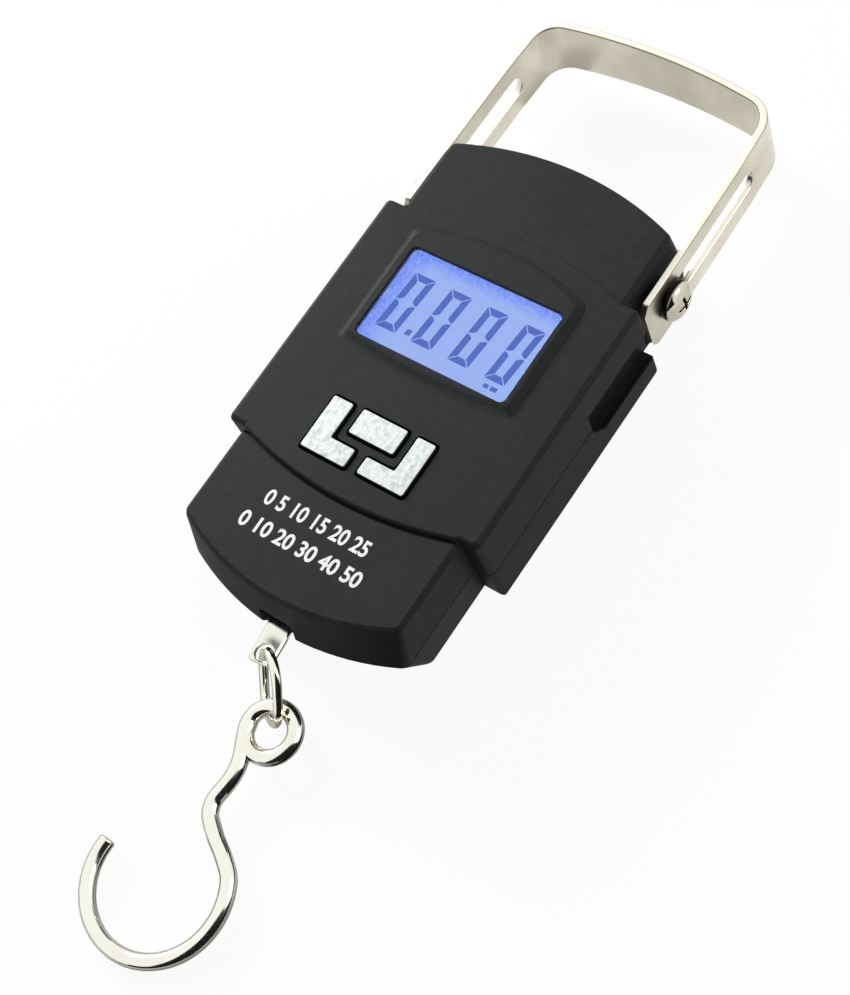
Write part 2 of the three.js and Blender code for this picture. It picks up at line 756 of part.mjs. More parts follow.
root.add(part("handle_yoke", handleYoke(), SILVER, 0.35, 1));
YOKE_BOLTS.forEach((y, i) => {
  root.add(part("yoke_bolt_" + (i + 1), yokeBolt(y), 0x8f9090, 0.3, 1));
});
root.add(part("eye_plate", eyePlate(), SILVER, 0.2, 1));
root.add(part("plate_pin", platePin(), 0x8f9090, 0.3, 1));
root.add(part("link", link(), SILVER, 0.12, 1));
root.add(part("hook", hook(), SILVER, 0.12, 1));
root.add(part("handle", handle(), SILVER, 0.25, 1));
[
  ["left", -1],
  ["right", 1],
].forEach(([name, side]) => {
  root.add(part("handle_screw_" + name, handleScrew(side), 0xcfccbe, 0.2, 1));
  root.add(part("handle_spacer_" + name, handleSpacer(side), 0x8f9090, 0.3, 1));
});
root.add(part("cell_left", cell(-CELL_X, 1), 0x2c5fa8, 0.35, 0));
root.add(part("cell_right", cell(CELL_X, -1), 0x2c5fa8, 0.35, 0));
root.add(part("contact_plate_left", contactPlate(-CELL_X, 22.25), 0xcfcfc8, 0.3, 1));
root.add(part("contact_plate_right", contactPlate(CELL_X, -27.25), 0xcfcfc8, 0.3, 1));
root.add(part("contact_spring_left", contactSpring(-CELL_X, -27.2, 1), 0xcfcfc8, 0.3, 1));
root.add(part("contact_spring_right", contactSpring(CELL_X, 22.2, -1), 0xcfcfc8, 0.3, 1));
caseScrewSpots().forEach((spot, i) => {
  root.add(part("case_screw_" + (i + 1), caseScrew(spot), 0x9a9a98, 0.3, 1));
});

export default root;
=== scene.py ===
from math import atan2, cos, pi, radians, sin, sqrt, tan

import bmesh
import bpy
from mathutils import Matrix, Quaternion, Vector

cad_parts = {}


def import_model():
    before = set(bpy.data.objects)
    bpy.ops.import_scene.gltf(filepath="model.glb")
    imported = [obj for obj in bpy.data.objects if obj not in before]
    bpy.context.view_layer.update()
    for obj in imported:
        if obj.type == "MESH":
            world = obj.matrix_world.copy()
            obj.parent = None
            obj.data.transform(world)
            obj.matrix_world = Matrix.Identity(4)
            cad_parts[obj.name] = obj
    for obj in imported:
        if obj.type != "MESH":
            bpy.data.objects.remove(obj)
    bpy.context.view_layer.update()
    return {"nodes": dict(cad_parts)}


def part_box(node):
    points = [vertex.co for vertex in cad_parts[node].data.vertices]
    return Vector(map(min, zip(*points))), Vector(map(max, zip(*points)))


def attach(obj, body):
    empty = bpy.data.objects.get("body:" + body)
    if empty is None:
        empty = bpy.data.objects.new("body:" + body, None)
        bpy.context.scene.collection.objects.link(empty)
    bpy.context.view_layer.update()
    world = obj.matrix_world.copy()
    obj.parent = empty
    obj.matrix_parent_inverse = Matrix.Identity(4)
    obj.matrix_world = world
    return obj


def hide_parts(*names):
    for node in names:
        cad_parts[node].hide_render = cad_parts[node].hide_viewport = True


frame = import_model()

MM = 0.001
NARROW_FACE = 23.8  # height of the front face at the narrow ends, millimetres


# ---- materials ----
class Signal:
    """One output of a node. Arithmetic on it adds Math nodes."""

    def __init__(self, finish, socket):
        self.finish = finish
        self.socket = socket

    def __add__(self, other):
        return self.finish.maths("ADD", self, other)

    __radd__ = __add__

    def __sub__(self, other):
        return self.finish.maths("SUBTRACT", self, other)

    def __rsub__(self, other):
        return self.finish.maths("SUBTRACT", other, self)

    def __mul__(self, other):
        return self.finish.maths("MULTIPLY", self, other)

    __rmul__ = __mul__


class Finish:
    """A node tree under construction, for a material or for the world."""

    def __init__(self, owner):
        self.owner = owner
        owner.use_nodes = True
        owner.node_tree.nodes.clear()
        self.place = self.node("ShaderNodeTexCoord", output="Object")

    def node(self, kind, settings=None, inputs=None, output=0):
        made = self.owner.node_tree.nodes.new(kind)
        for key, value in (settings or {}).items():
            setattr(made, key, value)
        for key, value in (inputs or {}).items():
            if isinstance(value, Signal):
                self.owner.node_tree.links.new(value.socket, made.inputs[key])
            else:
                made.inputs[key].default_value = value
        return Signal(self, made.outputs[output]) if made.outputs else None

    def maths(self, operation, first, second=0.0):
        return self.node("ShaderNodeMath", {"operation": operation}, {0: first, 1: second})

    def along(self, axis):
        """The place along one axis: 0, 1 or 2 for X, Y or Z."""
        return self.node("ShaderNodeSeparateXYZ", {}, {0: self.place}, output=axis)

    def noise(self, scale, detail=2.0, stretch=None, seed=0.0):
        place = self.place
        if stretch:
            place = self.node("ShaderNodeMapping", {}, {"Vector": place, "Scale": stretch})
        return self.node(
            "ShaderNodeTexNoise",
            {"noise_dimensions": "4D"},
            {"Vector": place, "W": seed, "Scale": scale, "Detail": detail},
        )

    def spread(self, value, low, high):
        """The value between low and high, stretched to run from 0 to 1."""
        return self.node(
            "ShaderNodeMapRange",
            {"clamp": True},
            {"Value": value, "From Min": low, "From Max": high},
        )

    def mix(self, share, first, second):
        return self.node(
            "ShaderNodeMix",
            {"data_type": "RGBA"},
            {0: share, 6: first, 7: second},
            output=2,
        )

    def surface(self, inputs, height=None, relief=0.0):
        if height is not None:
            inputs["Normal"] = self.node(
                "ShaderNodeBump",
                {},
                {"Strength": 1.0, "Distance": relief * MM, "Height": height},
            )
        shader = self.node("ShaderNodeBsdfPrincipled", {}, inputs)
        self.node("ShaderNodeOutputMaterial", {}, {"Surface": shader})
        return self.owner


def finish(name):
    return Finish(bpy.data.materials.new(name))


def tone(red, green, blue):
    """A display colour, 0 to 255, as a linear one."""

    def linear(part):
        part /= 255
        return part / 12.92 if part <= 0.04045 else ((part + 0.055) / 1.055) ** 2.4

    return (linear(red), linear(green), linear(blue), 1.0)


def moulded(name, dark, light, grain=1.0, shine=0.35):
    """Black moulded plastic with a fine spark-eroded grain and faint handling marks."""
    f = finish(name)
    pits = f.noise(3200, 3)
    cloud = f.noise(55, 3)
    marks = f.spread(f.noise(160, 4, seed=3.0), 0.56, 0.72)
    fleck = f.noise(700, 3, seed=7.0)
    mottle = 0.5 * f.spread(cloud, 0.3, 0.7) + 0.5 * f.spread(fleck, 0.35, 0.65)
    colour = f.mix(mottle, dark, light)
    rough = 0.46 + 0.1 * pits + 0.08 * cloud - 0.06 * marks
    return f.surface(
        {"Base Color": colour, "Roughness": rough, "Specular IOR Level": shine},
        pits,
        0.018 * grain,
    )


def nickel(name, dark, light, rough, streak=None, relief=0.004, worn=0.35):
    """Plated steel: a little cloudy, with fine polishing marks."""
    f = finish(name)
    cloud = f.noise(120, 3)
    lines = f.noise(900, 4, stretch=streak or (1, 1, 1), seed=1.0)
    specks = f.spread(f.noise(700, 2, seed=5.0), 0.64, 0.74)
    colour = f.mix(f.spread(cloud, 0.3, 0.7), dark, light)
    colour = f.mix(worn * specks, colour, tone(120, 116, 104))
    roughness = rough + 0.08 * cloud + 0.07 * lines + 0.4 * worn * specks - 0.06
    return f.surface(
        {"Base Color": colour, "Metallic": 1.0, "Roughness": roughness},
        lines,
        relief,
    )


def band_plating(name):
    """Satin nickel on the flat band, with a painted highlight along its front edge and painted
    shade on the rounded edge just below it.
    """
    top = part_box("handle")[1].z
    f = finish(name)
    height = f.along(2)
    cloud = f.noise(120, 3)
    lines = f.noise(900, 4, stretch=(1, 0.08, 1), seed=1.0)
    # Painted shade: darker on the rounded edge just below the top. Painted highlight: brighter
    # along the front edge itself.
    rim = f.spread(height, top - 0.6 * MM, top - 0.25 * MM)
    painted_edge_highlight = f.spread(height, top - 0.06 * MM, top - 0.02 * MM)
    colour = f.mix(f.spread(cloud, 0.3, 0.7), tone(214, 209, 192), tone(233, 228, 211))
    colour = f.mix(rim, colour, tone(160, 155, 137))
    colour = f.mix(painted_edge_highlight, colour, tone(238, 235, 218))
    roughness = 0.24 + 0.08 * cloud + 0.07 * lines
    return f.surface(
        {"Base Color": colour, "Metallic": 1.0, "Roughness": roughness},
        lines,
        0.004,
    )


def painted_key(name):
    """Silver paint on the top of a key cap, rubbed and mottled; the cap's sides are near black,
    partly its own black plastic and partly painted shade on its side walls.
    """
    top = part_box("button_left")[1].z
    f = finish(name)
    mottle = f.spread(f.noise(760, 4), 0.4, 0.66)
    patch = f.spread(f.noise(1300, 3, seed=2.0), 0.5, 0.7)
    colour = f.mix(mottle, tone(210, 216, 214), tone(180, 188, 185))
    colour = f.mix(0.6 * patch, colour, tone(221, 226, 224))
    height = f.along(2)
    # Below the silver top the sides are near black: the cap's own black, which also serves as
    # painted shade on the side walls.
    painted = f.spread(height, top - 0.22 * MM, top - 0.14 * MM)
    colour = f.mix(painted, tone(26, 27, 27), colour)
    return f.surface(
        {"Base Color": colour, "Metallic": 0.25, "Roughness": 0.42 + 0.2 * mottle},
        mottle,
        0.03,
    )


def lit_display(name):
    """The blue backlit face, deeper in colour along its left and far edges."""
    low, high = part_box("display_glass")
    f = finish(name)
    left = f.spread(f.along(0), low.x + 0.8 * MM, low.x + 8.5 * MM)
    top = f.spread(f.along(1), high.y - 0.6 * MM, high.y - 5 * MM)
    glow = left * top
    haze = f.noise(1400, 3)
    colour = f.mix(glow, tone(66, 102, 236), tone(148, 174, 228))
    colour = f.mix(0.6 * f.spread(haze, 0.35, 0.7), colour, tone(162, 186, 228))
    return f.surface(
        {
            "Base Color": tone(20, 30, 90),
            "Roughness": 0.4,
            "Specular IOR Level": 0.0,
            "Emission Color": colour,
            "Emission Strength": 1.0,
        }
    )


def segment_ink(name):
    f = finish(name)
    haze = f.noise(900, 2)
    colour = f.mix(haze, tone(64, 90, 165), tone(84, 110, 188))
    return f.surface(
        {
            "Base Color": tone(20, 30, 80),
            "Roughness": 0.5,
            "Specular IOR Level": 0.0,
            "Emission Color": colour,
            "Emission Strength": 1.0,
        }
    )


def clear_window(name):
    f = finish(name)
    dust = f.spread(f.noise(1500, 2), 0.6, 0.8)
    return f.surface(
        {
            "Base Color": (1, 1, 1, 1),
            "Roughness": 0.02 + 0.05 * dust,
            "Transmission Weight": 1.0,
            "IOR": 1.22,
        }
    )


def printed_white(name):
    f = finish(name)
    worn = f.spread(f.noise(1600, 3), 0.5, 0.75)
    colour = f.mix(worn, tone(246, 246, 246), tone(206, 207, 208))
    return f.surface({"Base Color": colour, "Roughness": 0.6}, worn, 0.01)


def circuit_green(name):
    f = finish(name)
    checks = f.node("ShaderNodeTexBrick", {}, {"Vector": f.place, "Scale": 260.0}, output=1)
    colour = f.mix(checks, tone(26, 92, 52), tone(50, 128, 76))
    return f.surface({"Base Color": colour, "Roughness": 0.35}, checks, 0.03)


def wrapped_cell(name):
    """A cell's printed sleeve: plain blue with a copper band at its far end."""
    f = finish(name)
    band = f.spread(f.along(1), 8 * MM, 8.2 * MM)
    scuff = f.noise(400, 3)
    colour = f.mix(band, tone(38, 60, 120), tone(190, 130, 70))
    colour = f.mix(0.3 * scuff, colour, tone(160, 160, 165))
    return f.surface({"Base Color": colour, "Metallic": 0.3, "Roughness": 0.3 + 0.15 * scuff})


def striped_rubber(name):
    f = finish(name)
    across = f.node("ShaderNodeTexWave", {}, {"Vector": f.place, "Scale": 900.0}, output=1)
    colour = f.mix(across, tone(206, 160, 168), tone(40, 36, 38))
    return f.surface({"Base Color": colour, "Roughness": 0.7})


def diffuser(name):
    f = finish(name)
    dots = f.node("ShaderNodeTexVoronoi", {}, {"Vector": f.place, "Scale": 900.0})
    colour = f.mix(f.spread(dots, 0.2, 0.4), tone(240, 244, 252), tone(180, 200, 248))
    return f.surface({"Base Color": colour, "Roughness": 0.5}, dots, 0.02)


CASE_BLACK = moulded("case_black", tone(26, 28, 27), tone(38, 41, 40), shine=0.12)
DARK_BLACK = moulded("door_black", tone(25, 27, 27), tone(32, 35, 34), 1.3, 0.2)
SWITCH_BLACK = moulded("switch_black", tone(18, 18, 18), tone(26, 26, 26), 0.5)
BAND_STEEL = band_plating("band_nickel")
WIRE_CHROME = nickel(
    "wire_chrome", tone(240, 238, 226), tone(250, 249, 238), 0.11, relief=0.002, worn=0.1
)
INNER_STEEL = nickel("inner_zinc", tone(150, 150, 146), tone(178, 178, 173), 0.36)
ALLOY = nickel("brushed_alloy", tone(168, 170, 172), tone(192, 194, 196), 0.34, (1, 0.05, 1))
KEY_SILVER = painted_key("key_silver")
DISPLAY_BLUE = lit_display("display_blue")
SEGMENT_BLUE = segment_ink("segment_blue")
WINDOW_CLEAR = clear_window("window_clear")
PRINT_WHITE = printed_white("print_white")
BOARD_GREEN = circuit_green("board_green")
CELL_SLEEVE = wrapped_cell("cell_sleeve")
CONNECTOR_RUBBER = striped_rubber("connector_rubber")
LIGHT_PANEL = diffuser("light_panel")


# ---- making pieces ----
def placed(name, data):
    made = bpy.data.objects.new(name, data)
    bpy.context.scene.collection.objects.link(made)
    return made


def piece(name, mesh, material, body, replaces=()):
    made = placed(name, mesh)
    made.data.materials.clear()
    made.data.materials.append(material)
    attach(made, body)
    if replaces:
        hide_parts(*replaces)
    return made


def mesh_of(bm, name, smooth=35):
    bmesh.ops.recalc_face_normals(bm, faces=bm.faces)
    mesh = bpy.data.meshes.new(name)
    bm.to_mesh(mesh)
    bm.free()
    shade(mesh, smooth)
    return mesh


def shade(mesh, smooth=35):
    mesh.polygons.foreach_set("use_smooth", [True] * len(mesh.polygons))
    mesh.set_sharp_from_angle(angle=radians(smooth))


def millimetres(bm):
    bmesh.ops.scale(bm, vec=(MM, MM, MM), verts=bm.verts)


def soften(made, width, angle=30, segments=3):
    """Rounds every edge sharper than the angle, and keeps the flat faces flat."""
    rounding = made.modifiers.new("rounded_edges", "BEVEL")
    rounding.limit_method = "ANGLE"
    rounding.angle_limit = radians(angle)
    rounding.width = width * MM
    rounding.segments = segments
    rounding.use_clamp_overlap = True
    return level(made)


def level(made):
    """Keeps wide faces looking flat beside their rounded edges."""
    levelled = made.modifiers.new("flat_faces", "WEIGHTED_NORMAL")
    levelled.weight = 90
    levelled.keep_sharp = True
    return made


def clean_copy(node):
    """A CAD node's shape with its doubled corners merged and its flat faces whole again."""
    flat = 0.6  # faces that meet at less than this many degrees are one face
    bm = bmesh.new()
    bm.from_mesh(frame["nodes"][node].data)
    bmesh.ops.remove_doubles(bm, verts=bm.verts, dist=0.002 * MM)
    bmesh.ops.dissolve_limit(bm, angle_limit=radians(flat), verts=bm.verts, edges=bm.edges)
    return bm


def rounded_node(node, material, body, width):
    mesh = mesh_of(clean_copy(node), node + "_rounded", 25)
    made = piece(node + "_rounded", mesh, material, body, [node])
    return soften(made, width)


def taken_mesh(made):
    """The object's finished mesh. The object itself is removed."""
    depsgraph = bpy.context.evaluated_depsgraph_get()
    mesh = bpy.data.meshes.new_from_object(made.evaluated_get(depsgraph))
    bpy.data.objects.remove(made)
    return mesh


def combined(mesh, others, operation):
    """The mesh with each of the other shapes joined to it or cut out of it."""
    worked = placed("worked", mesh)
    tools = [placed("tool", other) for other in others]
    for tool in tools:
        step = worked.modifiers.new("step", "BOOLEAN")
        step.operation = operation
        step.solver = "EXACT"
        step.object = tool
    result = taken_mesh(worked)
    for tool in tools:
        bpy.data.objects.remove(tool)
    return result


def block(low, high):
    """A box between two corners, in millimetres, as a mesh in metres."""
    bm = bmesh.new()
    bmesh.ops.create_cube(bm, size=1)
    low, high = Vector(low), Vector(high)
    bmesh.ops.scale(bm, vec=high - low, verts=bm.verts)
    bmesh.ops.translate(bm, vec=(low + high) / 2, verts=bm.verts)
    millimetres(bm)
    return mesh_of(bm, "block")


# ---- handle ----
# Millimetres. Half widths run to the middle of the band.
BAND_THICK = 1.6
FOOT_HALF = 31.2
SLOT_HALF = 30.75
GRIP_HALF = 30.3
FOOT_Y = 31.6
KNEE_Y = 41.0
SLOT_END_Y = 72.0
APEX_Y = 90.0
BEND_RADIUS = 7.0
BOW_RADIUS = 155.0
SLOT_RANGE = (38.3, 75.0)
SLOT_HEIGHT = 5.3


def grown(bm, ring, dx, dy):
    """The band carried straight on from its open end."""
    made = bmesh.ops.extrude_edge_only(bm, edges=ring)["geom"]
    ends = [g for g in made if isinstance(g, bmesh.types.BMVert)]
    bmesh.ops.translate(bm, vec=(dx, dy, 0), verts=ends)
    return [g for g in made if isinstance(g, bmesh.types.BMEdge)]


def bent(bm, ring, cent, angle, steps):
    """The band carried on round a bend."""
    geom = [*ring, *{v for e in ring for v in e.verts}]
    spun = bmesh.ops.spin(
        bm, geom=geom, cent=cent, axis=(0, 0, 1), angle=angle, steps=steps
    )["geom_last"]
    return [g for g in spun if isinstance(g, bmesh.types.BMEdge)]


def whole_band(z0, z1):
    """The band from one foot to the other, open at both ends."""
    centre = APEX_Y - BOW_RADIUS
    bend_x = GRIP_HALF - BEND_RADIUS
    bend_y = centre + sqrt((BOW_RADIUS - BEND_RADIUS) ** 2 - bend_x ** 2)
    turn = atan2(bend_y - centre, bend_x)
    bm = bmesh.new()
    side = BAND_THICK / 2
    corners = [(side, z0), (side, z1), (-side, z1), (-side, z0)]
    verts = [bm.verts.new((FOOT_HALF + x, FOOT_Y, z)) for x, z in corners]
    ring = [bm.edges.new((verts[i - 1], verts[i])) for i in range(4)]
    ring = grown(bm, ring, 0, KNEE_Y - FOOT_Y)
    ring = grown(bm, ring, SLOT_HALF - FOOT_HALF, SLOT_END_Y - KNEE_Y)
    ring = grown(bm, ring, GRIP_HALF - SLOT_HALF, bend_y - SLOT_END_Y)
    ring = bent(bm, ring, (bend_x, bend_y, 0), turn, 14)
    ring = bent(bm, ring, (0, centre, 0), pi - 2 * turn, 48)
    ring = bent(bm, ring, (-bend_x, bend_y, 0), turn, 14)
    ring = grown(bm, ring, GRIP_HALF - SLOT_HALF, SLOT_END_Y - bend_y)
    ring = grown(bm, ring, SLOT_HALF - FOOT_HALF, KNEE_Y - SLOT_END_Y)
    grown(bm, ring, 0, FOOT_Y - KNEE_Y)
    bmesh.ops.remove_doubles(bm, verts=bm.verts, dist=0.001)
    return bm


def trim_feet(bm, z0, z1):
    """Slants off both corners of each foot and closes the ends."""
    for height, lean in [(z1 - 2.9, 1), (z0 + 2.4, -1)]:
        bmesh.ops.bisect_plane(
            bm,
            geom=[*bm.verts, *bm.edges, *bm.faces],
            plane_co=(0, 31, height),
            plane_no=Vector((0, -1, lean)).normalized(),
            clear_outer=True,
        )
    bmesh.ops.holes_fill(bm, edges=bm.edges, sides=12)


def slot_cutter(middle):
    """A bar with rounded ends, right through both arms."""
    low, high = SLOT_RANGE
    bm = bmesh.new()
    bmesh.ops.create_cube(bm, size=1)
    bmesh.ops.scale(bm, vec=(80, high - low, SLOT_HEIGHT), verts=bm.verts)
    bmesh.ops.translate(bm, vec=(0, (high + low) / 2, middle), verts=bm.verts)
    ends = [e for e in bm.edges if abs(e.verts[0].co.x - e.verts[1].co.x) > 1]
    bmesh.ops.bevel(
        bm, geom=ends, offset=2.6, segments=8, profile=0.5, affect="EDGES", material=-1
    )
    millimetres(bm)
    return mesh_of(bm, "slot")


def handle_piece():
    """A flat band bent to a bow, spun round each of its bends, slotted in both arms."""
    low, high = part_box("handle")
    z0, z1 = low.z / MM, high.z / MM
    bm = whole_band(z0, z1)
    trim_feet(bm, z0, z1)
    millimetres(bm)
    mesh = combined(mesh_of(bm, "band"), [slot_cutter((z0 + z1) / 2)], "DIFFERENCE")
    shade(mesh)
    made = piece("handle_band", mesh, BAND_STEEL, "handle", ["handle"])
    return soften(made, 0.3, 40)


# ---- wires ----
def wire_mesh(points, radius, closed=False, sides=6):
    """Round wire along a smooth curve through the points, in millimetres."""
    curve = bpy.data.curves.new("wire", "CURVE")
    curve.dimensions = "3D"
    curve.resolution_u = 5
    curve.bevel_depth = radius * MM
    curve.bevel_resolution = sides
    spline = curve.splines.new("BEZIER")
    spline.bezier_points.add(len(points) - 1)
    spline.use_cyclic_u = closed
    for knot, point in zip(spline.bezier_points, points):
        knot.co = Vector(point) * MM
        knot.handle_left_type = "AUTO"
        knot.handle_right_type = "AUTO"
    return taken_mesh(placed("wire", curve))


def arc(centre, radius, start, end, steps):
    return [
        (
            centre[0] + radius * cos(start + (end - start) * i / steps),
            centre[1] + radius * sin(start + (end - start) * i / steps),
        )
        for i in range(steps + 1)
    ]


HOOK_WIRE = 1.85
RING = Vector((8.38, -80.19, 4.9))
RING_RADIUS = 5.52
HOOK_LOW = Vector((0, -133.81, 1.9))
HOOK_SLOPE = (RING.z - HOOK_LOW.z) / (RING.y - HOOK_LOW.y)
HOOK_BEND = (5.95, -118.32)
HOOK_BEND_RADIUS = 15.49
# The middle of the wire from the ring down to the round bend, in millimetres.
SHANK = [
    (2.95, -80.6), (3.7, -83.2), (5.1, -86), (6.2, -88.6), (6.7, -91.5),
    (6.6, -94.3), (6.3, -96.4), (6.2, -98), (6.5, -99.4), (7.3, -100.9),
    (8.6, -102.1), (10, -103.2), (11.2, -104.1), (13.2, -105.3), (15.5, -106.8),
]


def on_hook(x, y):
    return (x, y, HOOK_LOW.z + (y - HOOK_LOW.y) * HOOK_SLOPE)


def shank_mesh():
    """The wire from the ring to the tip, with the tip's edge rounded."""
    bend = arc(HOOK_BEND, HOOK_BEND_RADIUS, 0.62, -3.28, 24)
    bm = bmesh.new()
    bm.from_mesh(wire_mesh([on_hook(x, y) for x, y in SHANK + bend], HOOK_WIRE))
    bmesh.ops.remove_doubles(bm, verts=bm.verts, dist=0.001 * MM)
    caps = bmesh.ops.holes_fill(bm, edges=bm.edges, sides=40)["faces"]
    tip = min(caps, key=lambda f: f.calc_center_median().x)
    bmesh.ops.bevel(
        bm, geom=tip.edges, offset=0.5 * MM, segments=3, profile=0.5, affect="EDGES",
        material=-1,
    )
    return mesh_of(bm, "shank")


def ring_mesh():
    """The closed ring at the hook's top, leaning as the hook does."""
    bm = bmesh.new()
    circle = bmesh.ops.create_circle(bm, radius=HOOK_WIRE, segments=20)["verts"]
    bmesh.ops.rotate(bm, matrix=Matrix.Rotation(pi / 2, 3, "X"), verts=circle)
    bmesh.ops.translate(bm, vec=(RING_RADIUS, 0, 0), verts=circle)
    bmesh.ops.spin(
        bm, geom=[*bm.verts, *bm.edges], axis=(0, 0, 1), angle=2 * pi, steps=56,
        use_merge=True,
    )
    bmesh.ops.remove_doubles(bm, verts=bm.verts, dist=0.001)
    lean = Matrix.Rotation(atan2(HOOK_SLOPE, 1), 3, "X")
    bmesh.ops.rotate(bm, matrix=lean, verts=bm.verts)
    bmesh.ops.translate(bm, vec=RING, verts=bm.verts)
    millimetres(bm)
    return mesh_of(bm, "ring")


def hook_piece():
    mesh = combined(shank_mesh(), [ring_mesh()], "UNION")
    shade(mesh, 50)
    return piece("hook_wire", mesh, WIRE_CHROME, "hook", ["hook"])


def link_piece():
    """An oval of wire in its own tilted plane, from the plate's hole to the hook's ring."""
    start = Vector((2.18, -67.72, 13.7))
    along = Vector((0.259, -0.658, -0.707))
    across = Vector((0.794, -0.272, 0.544))
    length, width = 15.45, 9.93
    r = width / 2
    flat = [
        *arc((r, 0), r, 0.5 * pi, 1.5 * pi, 10),
        (length / 2, -r),
        *arc((length - r, 0), r, -0.5 * pi, 0.5 * pi, 10),
        (length / 2, r),
    ]
    points = [start + along * x + across * y for x, y in flat]
    bm = bmesh.new()
    bm.from_mesh(wire_mesh(points, 1.05, closed=True, sides=5))
    bmesh.ops.remove_doubles(bm, verts=bm.verts, dist=0.001 * MM)
    mesh = mesh_of(bm, "link", 60)
    return piece("link_wire", mesh, WIRE_CHROME, "link", ["link"])


# ---- screws ----
def screw_plating(name, centre):
    """Bright plating, with painted reflection and shade: near black round the flank of the head
    and in its cross recess.
    """
    f = finish("screw_nickel_" + name)
    away = f.maths("ABSOLUTE", f.along(0))
    flat = f.node("ShaderNodeCombineXYZ", {}, {1: f.along(1), 2: f.along(2)})
    axis = (0, centre.y * MM, centre.z * MM)
    reach = f.node(
        "ShaderNodeVectorMath", {"operation": "DISTANCE"}, {0: flat, 1: axis}, output=1
    )
    # Painted reflection and shade: the head's flank and underside are coloured near black,
    # standing in for the black case they reflect and the shade by the arm.
    flank = f.spread(away, 33.9 * MM, 33.5 * MM)
    # Painted shade in the cross recess.
    recess = f.spread(away, 35.2 * MM, 35.0 * MM) * f.spread(reach, 2.7 * MM, 2.5 * MM)
    cloud = f.noise(300, 3)
    colour = f.mix(cloud, tone(206, 198, 178), tone(226, 219, 201))
    dark = f.maths("MAXIMUM", flank, recess)
    colour = f.mix(dark, colour, tone(26, 22, 18))
    return f.surface({"Base Color": colour, "Metallic": 1.0, "Roughness": 0.08 + 0.2 * dark})


def handle_screw(side, name):
    """A pan head with a cross recess and a rim, spun about the screw's axis."""
    low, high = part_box("handle_screw_" + name)
    centre = (low + high) / 2 / MM
    inner = (high.x if side < 0 else low.x) / MM * side
    outer = (low.x if side < 0 else high.x) / MM * side
    bm = bmesh.new()
    # Each point is a place along the screw and the radius there.
    profile = [
        (inner, 0), (inner, 1.8), (32.35, 1.8), (32.35, 4.45), (32.6, 4.75), (33.7, 4.72),
        (34.2, 4.4), (34.75, 3.75), (35.15, 2.9), (35.42, 1.9), (outer - 0.05, 0.9), (outer, 0),
    ]
    verts = [bm.verts.new((x, r, 0)) for x, r in profile]
    edges = [bm.edges.new(pair) for pair in zip(verts, verts[1:])]
    bmesh.ops.spin(
        bm, geom=[*verts, *edges], axis=(1, 0, 0), angle=2 * pi, steps=40, use_merge=True
    )
    bmesh.ops.remove_doubles(bm, verts=bm.verts, dist=0.001)
    if side < 0:
        bmesh.ops.scale(bm, vec=(-1, 1, 1), verts=bm.verts)
    bmesh.ops.translate(bm, vec=(0, centre.y, centre.z), verts=bm.verts)
    millimetres(bm)
    head = mesh_of(bm, "head")
    x0, x1 = sorted((side * 34.4, side * 37))
    y, z = centre.y, centre.z
    wings = [
        block((x0, y - a, z - b), (x1, y + a, z + b)) for a, b in [(2.3, 0.42), (0.42, 2.3)]
    ]
    mesh = combined(head, wings, "DIFFERENCE")
    shade(mesh, 40)
    made = piece(
        "handle_screw_head_" + name, mesh, screw_plating(name, centre), "case",
        ["handle_screw_" + name],
    )
    return soften(made, 0.08, 45, 2)


# ---- display figures and printed numbers ----
def segment_outlines(width, height, stroke, gap):
    """The six outer bars of a plain figure nought, mitred at its corners."""
    middle = height / 2
    upper = [
        [(gap, height), (stroke + gap, height - stroke), (width - stroke - gap, height - stroke),
         (width - gap, height)],
        [(0, height - gap), (0, middle + gap), (stroke / 2, middle + gap + 0.1),
         (stroke, middle + gap + 0.7), (stroke, height - gap - stroke)],
        [(width, height - gap), (width - stroke, height - gap - stroke),
         (width - stroke, middle + gap + 0.7), (width - stroke / 2, middle + gap + 0.1),
         (width, middle + gap)],
    ]
    lower = [[(x, height - y) for x, y in reversed(outline)] for outline in upper]
    return upper + lower


def slab_of(outlines, z, thick, name):
    bm = bmesh.new()
    for outline in outlines:
        face = bm.faces.new([bm.verts.new((x, y, z)) for x, y in outline])
        raised = bmesh.ops.extrude_face_region(bm, geom=[face])["geom"]
        verts = [g for g in raised if isinstance(g, bmesh.types.BMVert)]
        bmesh.ops.translate(bm, vec=(0, 0, thick), verts=verts)
    millimetres(bm)
    return mesh_of(bm, name)


def display_figures():
    """Four leaning noughts, a point after the first, and two small marks below the last."""
    low_y, height, lean = 2.6, 14.5, 1.1
    outlines = []
    for left, width in [(-16.6, 5.4), (-7.1, 5.4), (2.6, 5.3), (12.2, 5.1)]:
        for outline in segment_outlines(width, height, stroke=1.55, gap=0.18):
            outlines.append([(left + x + lean * y / height, low_y + y) for x, y in outline])
    x, y = -9.3, 3.4
    outlines.append([(x, y), (x + 1.3, y), (x + 1.5, y + 1.4), (x + 0.2, y + 1.4)])
    for x, width in [(13.2, 1.2), (15.0, 1.6)]:
        outlines.append([(x, 0.5), (x + width, 0.5), (x + width, 1.5), (x, 1.5)])
    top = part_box("display_glass")[1].z / MM
    mesh = slab_of(outlines, top + 0.02, 0.06, "figures")
    return piece("display_figures", mesh, SEGMENT_BLUE, "case")


